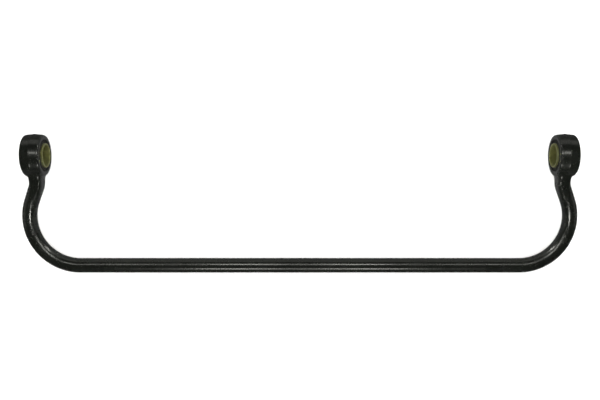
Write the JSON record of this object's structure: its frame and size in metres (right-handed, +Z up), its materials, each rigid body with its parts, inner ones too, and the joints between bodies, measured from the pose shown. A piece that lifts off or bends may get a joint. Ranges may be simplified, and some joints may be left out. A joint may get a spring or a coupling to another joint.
{
  "type": "sway bar",
  "caption": "U-shaped sway bar bent from round steel rod, with a forged eye at each end holding a pressed-in rubber-metal bush.",
  "frame": {"origin": "on the bar's axis at mid-span", "axes": "+X along the bar to its right end, +Y towards the arms, +Z up with the part lying on a flat surface: the straight length and both eyes touch it, so the arms rise towards the eyes"},
  "size_m": [1.061, 0.2653, 0.082],
  "materials": {
    "bar_paint": "semi-gloss black paint over forged steel",
    "shell_steel": "dark phosphated steel",
    "bush_rubber": "moulded black rubber",
    "sleeve_zinc": "yellow-passivated zinc plate"
  },
  "bodies": {
    "left_half": {"bar_left_half": "bar_paint", "left_bush_outer_shell": "shell_steel", "left_bush_rubber": "bush_rubber"},
    "right_half": {"bar_right_half": "bar_paint", "right_bush_outer_shell": "shell_steel", "right_bush_rubber": "bush_rubber"},
    "left_sleeve": {"left_bush_inner_sleeve": "sleeve_zinc"},
    "right_sleeve": {"right_bush_inner_sleeve": "sleeve_zinc"}
  },
  "joints": [
    {"name": "bar_twist", "type": "hinge", "parent": "left_half", "child": "right_half", "pos_m": [0, 0, 0], "axis": [1, 0, 0], "range_deg": [-15, 15], "stiffness_Nm_per_rad": 5660},
    {"name": "left_bush_turn", "type": "hinge", "parent": "left_half", "child": "left_sleeve", "pos_m": [-0.50052, 0.21027, 0.027], "axis": [1, 0, 0], "range_deg": [-10, 10], "stiffness_Nm_per_rad": 1000},
    {"name": "right_bush_turn", "type": "hinge", "parent": "right_half", "child": "right_sleeve", "pos_m": [0.50052, 0.21027, 0.027], "axis": [1, 0, 0], "range_deg": [-10, 10], "stiffness_Nm_per_rad": 1000}
  ]
}
